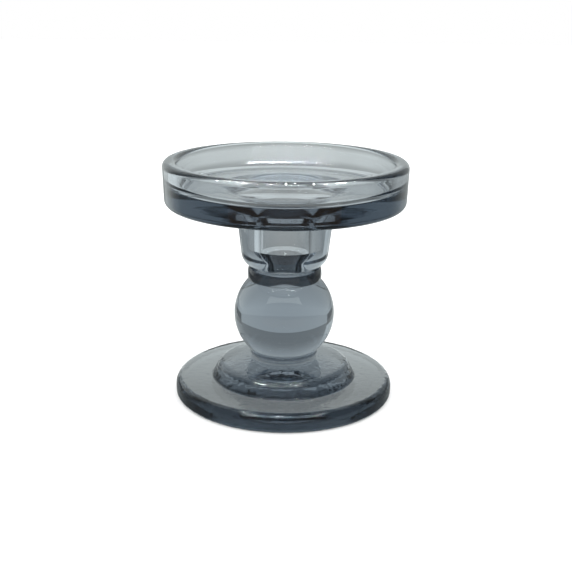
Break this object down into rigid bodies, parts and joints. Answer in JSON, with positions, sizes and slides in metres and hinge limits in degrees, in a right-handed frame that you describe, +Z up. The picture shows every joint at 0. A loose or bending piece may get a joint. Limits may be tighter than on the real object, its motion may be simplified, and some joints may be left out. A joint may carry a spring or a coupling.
{
  "type": "glass candlestick",
  "caption": "Short pressed glass candlestick with a rimmed dish for a pillar candle, a central socket for a dinner candle, a ball knop stem and a round stepped foot.",
  "frame": {"origin": "centre of the foot's flat underside", "axes": "+Z up along the candlestick's axis, towards the candle; the object is round, so +X and +Y are free"},
  "size_m": [0.1148, 0.1148, 0.1148],
  "materials": {
    "smoke_glass": "clear blue-grey smoked soda-lime glass, fire-polished gloss, tinted through its whole thickness"
  },
  "bodies": {
    "root": {"foot": "smoke_glass", "lower_wafer": "smoke_glass", "ball_knop": "smoke_glass", "upper_wafer": "smoke_glass", "candle_socket": "smoke_glass", "candle_dish": "smoke_glass"}
  },
  "joints": []
}
